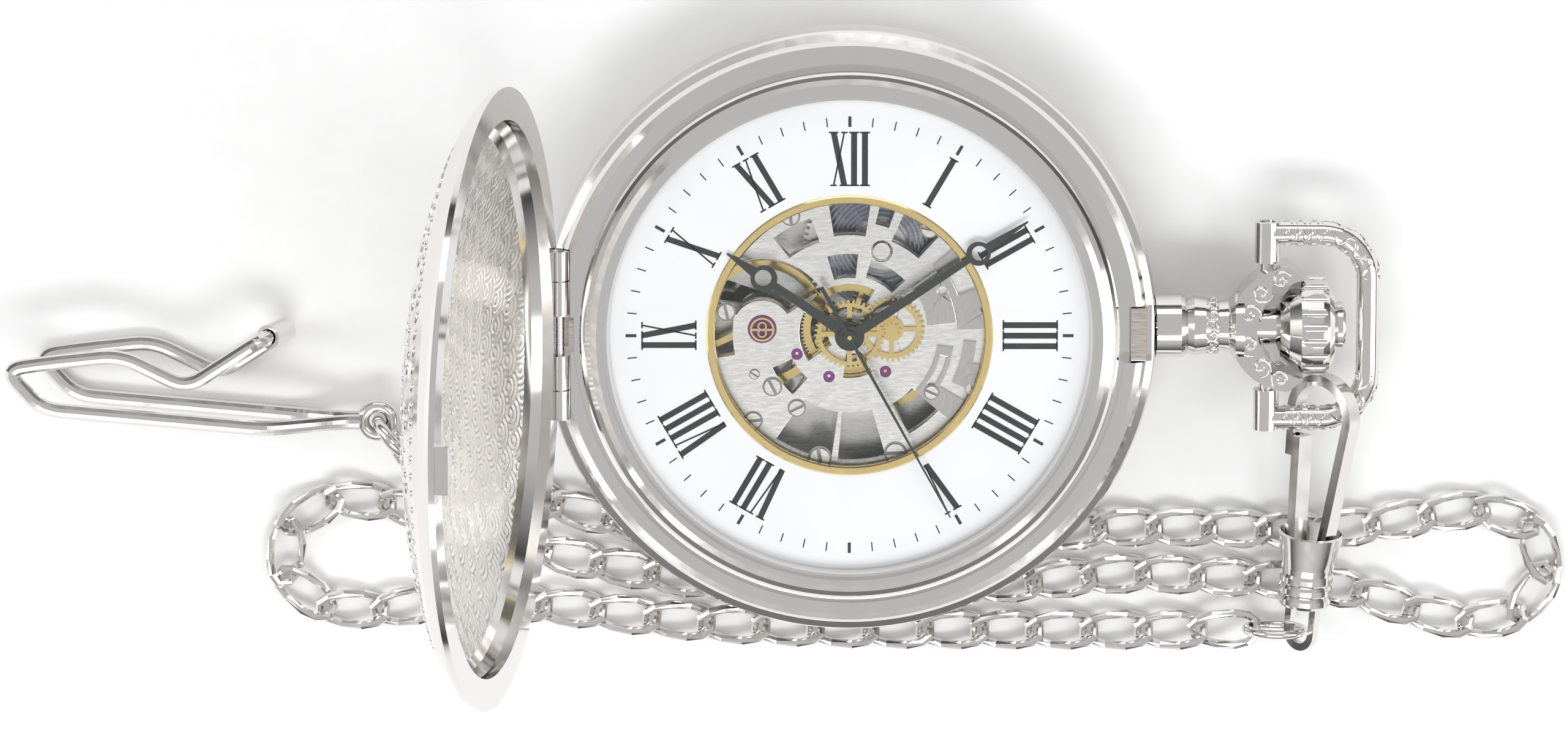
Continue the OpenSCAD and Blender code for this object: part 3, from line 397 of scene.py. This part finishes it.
def snail_height(x, y):
    """Height of overlapping turned circles, each covering the one after it."""
    for sx, sy in spots_near(x, y):
        d = math.hypot(x - sx, y - sy)
        if d < SPOT_R:
            return SPOT_DEPTH * math.sin(2 * math.pi * d / SPOT_PITCH)
    return 0.0


rings, around = ((170, 1100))
verts, faces = [], []
for i in range(rings + 1):
    r = SNAIL_EYE + (SNAIL_R - SNAIL_EYE) * i / rings
    for k in range(around):
        x, y = polar(r, 2 * math.pi * k / around)
        verts.append(LID_OPEN @ Vector((x, y, lid_out(r) - SNAIL_INSET + snail_height(x, y))))
for i in range(rings):
    for k in range(around):
        j = (k + 1) % around
        faces.append([i * around + k, i * around + j, (i + 1) * around + j, (i + 1) * around + k])
faces.append(list(reversed(range(around))))
piece("lid_snailing", verts, faces, satin, "front_lid")


def on_lid(pts):
    """Points on the open lid's outside with their outward normals, from flat points on the closed lid."""
    out = []
    for x, y in pts:
        r = math.hypot(x, y)
        slope = (lid_out(r + 0.2) - lid_out(max(r - 0.2, 0))) / 0.4
        up = Vector((-slope * x / max(r, 0.1), -slope * y / max(r, 0.1), 1)).normalized()
        p = LID_OPEN @ Vector((x, y, lid_out(r)))
        out.append((p, (LID_OPEN.to_3x3() @ up).normalized()))
    return out


# Twelve pairs of scrolls with stems between them, two beaded rings and six scrolls in the middle
relief = []
for i in range(12):
    a = 2 * math.pi * i / 12
    for hand in (1, -1):
        outer = polar(17.2, a + hand * 0.13)
        relief.append(on_lid(scroll(*outer, 1.75, 1.5, a + hand * 1.2, hand)))
        inner = polar(12.2, a + hand * 0.17)
        relief.append(on_lid(scroll(*inner, 1.6, 1.4, a + math.pi, -hand)))
    relief.append(on_lid([polar(13.4 + 0.8 * k, a) for k in range(6)]))
for r, count in ((20.3, 96), (9.0, 48)):
    for i in range(count):
        a = 2 * math.pi * i / count
        relief.append(on_lid([polar(r + q, a + q * 0.04) for q in (-0.4, -0.2, 0, 0.2, 0.4)]))
for i in range(6):
    a = 2 * math.pi * i / 6
    relief.append(on_lid(scroll(*polar(5.2, a), 2.0, 1.3, a + 2.2, 1)))
piece("lid_relief", *beads(relief, 0.26, 0.16), polished, "front_lid")


# ---- engraving of the neck, the boss and the bow ----

STEM_Z = 5.0
NECK_R, NECK_X = 2.12, 28.35
BOSS_X, BOSS_HALF = 34.6, 1.7
BOW_START, BOW_FAR, BOW_HALF, BOW_BEND, BOW_SKIN = 33.9, 40.5, 7.4, 3.6, 0.93
UP = Vector((0, 0, 1))


def on_neck(x, angle):
    up = Vector((0, math.cos(angle), math.sin(angle)))
    return Vector((x, 0, STEM_Z)) + NECK_R * up, up


engraving = []
for i in range(8):
    middle = 2 * math.pi * i / 8
    for hand in (1, -1):
        flat = scroll(NECK_X, hand * 0.36, 0.62, 1.3, hand * 1.57, hand, 24)
        engraving.append([on_neck(x, middle + y / 2.1) for x, y in flat])
for hand in (1, -1):
    for face in (1, -1):
        for k, a in enumerate((0.3, 0.8, 1.3)):
            x, y = BOSS_X - 3.55 * math.cos(a), hand * 4.1 * math.sin(a)
            flat = scroll(x, y, 0.95 - 0.07 * k, 1.5, a * hand + 2.2, hand * (1 if k % 2 else -1), 26)
            engraving.append([(Vector((px, py, STEM_Z + face * BOSS_HALF)), face * UP) for px, py in flat])
piece("pendant_engraving", *beads(engraving, 0.14, 0.13), polished, "case")


def bow_arm(s):
    """Centre line of one straight arm with its direction; s is the side."""
    bend_x = BOW_FAR - BOW_BEND
    return [(Vector((BOW_START + (bend_x - BOW_START) * i / 30, s * BOW_HALF, STEM_Z)), Vector((1, 0, 0)))
            for i in range(31)]


def bow_corner(s):
    """Centre line of one round corner with its direction."""
    out = []
    for i in range(31):
        a = math.pi / 2 * i / 30
        x = BOW_FAR - BOW_BEND + BOW_BEND * math.sin(a)
        y = s * (BOW_HALF - BOW_BEND + BOW_BEND * math.cos(a))
        out.append((Vector((x, y, STEM_Z)), Vector((math.cos(a), -s * math.sin(a), 0))))
    return out


vines = []
for run in (bow_arm(-1), bow_arm(1), bow_corner(-1), bow_corner(1)):
    for quarter in range(4):
        path = []
        for i, (p, along) in enumerate(run):
            a = quarter * math.pi / 2 + 0.55 * math.sin(i * 0.62)
            up = math.cos(a) * along.cross(UP) + math.sin(a) * UP
            path.append((p + BOW_SKIN * up, up))
        vines.append(path)
piece("bow_engraving", *beads(vines, 0.16, 0.1), polished, "bow")


# ---- camera, light and floor ----

CAMERA_DISTANCE, CAMERA_LENS, CAMERA_TILT_DEG = 0.8, 236, 13.0
FLOOR_HALF = 2
SKY_STRENGTH = 0.62

target = Vector((-5.1, -2.5, 8.7)) * MM
tilt = math.radians(CAMERA_TILT_DEG)
camera = bpy.data.cameras.new("camera")
camera.sensor_width = 36
camera.lens = CAMERA_LENS
camera.clip_start = 0.01
camera.clip_end = 10
eye = bpy.data.objects.new("camera", camera)
eye.location = target + CAMERA_DISTANCE * Vector((0, math.sin(tilt), math.cos(tilt)))
eye.rotation_euler = (-tilt, 0, 0)
bpy.context.scene.collection.objects.link(eye)
bpy.context.scene.camera = eye

floor_mesh = bpy.data.meshes.new("floor")
corners = [(x * FLOOR_HALF, y * FLOOR_HALF, 0) for x, y in ((-1, -1), (1, -1), (1, 1), (-1, 1))]
floor_mesh.from_pydata(corners, [], [[0, 1, 2, 3]])
floor_mesh.materials.append(plain("floor white", (0.97, 0.97, 0.97), 0.7))
floor = bpy.data.objects.new("floor", floor_mesh)
bpy.context.scene.collection.objects.link(floor)


def softbox(name, place, aim, size, watts):
    light = bpy.data.lights.new(name, "AREA")
    light.shape = "RECTANGLE"
    light.size, light.size_y = size
    light.energy = watts
    obj = bpy.data.objects.new(name, light)
    obj.location = place
    obj.rotation_euler = (Vector(aim) - Vector(place)).to_track_quat("-Z", "Y").to_euler()
    bpy.context.scene.collection.objects.link(obj)


softbox("overhead", (0, -0.42, 0.62), (0, 0, 0), (0.6, 0.2), 2.2)
softbox("left", (-0.55, 0.05, 0.3), (0, 0, 0.01), (0.25, 0.5), 1.3)
softbox("right", (0.5, -0.1, 0.35), (0, 0, 0.01), (0.25, 0.5), 1.1)
softbox("back", (0.05, 0.6, 0.3), (0, 0, 0.01), (0.6, 0.2), 0.9)

world = bpy.data.worlds.new("studio")
world.use_nodes = True
sky = world.node_tree
direction = sky.nodes.new("ShaderNodeTexCoord")
height = sky.nodes.new("ShaderNodeSeparateXYZ")
sky.links.new(direction.outputs["Generated"], height.inputs["Vector"])
shade = mix_colour(sky, ramp(sky, height.outputs["Z"], 0.05, 0.55, 0.0, 1.0), (0.1, 0.1, 0.1), (1, 1, 1))
sky.links.new(shade, sky.nodes["Background"].inputs["Color"])
sky.nodes["Background"].inputs["Strength"].default_value = SKY_STRENGTH
bpy.context.scene.world = world
bpy.context.scene.view_settings.view_transform = "Standard"
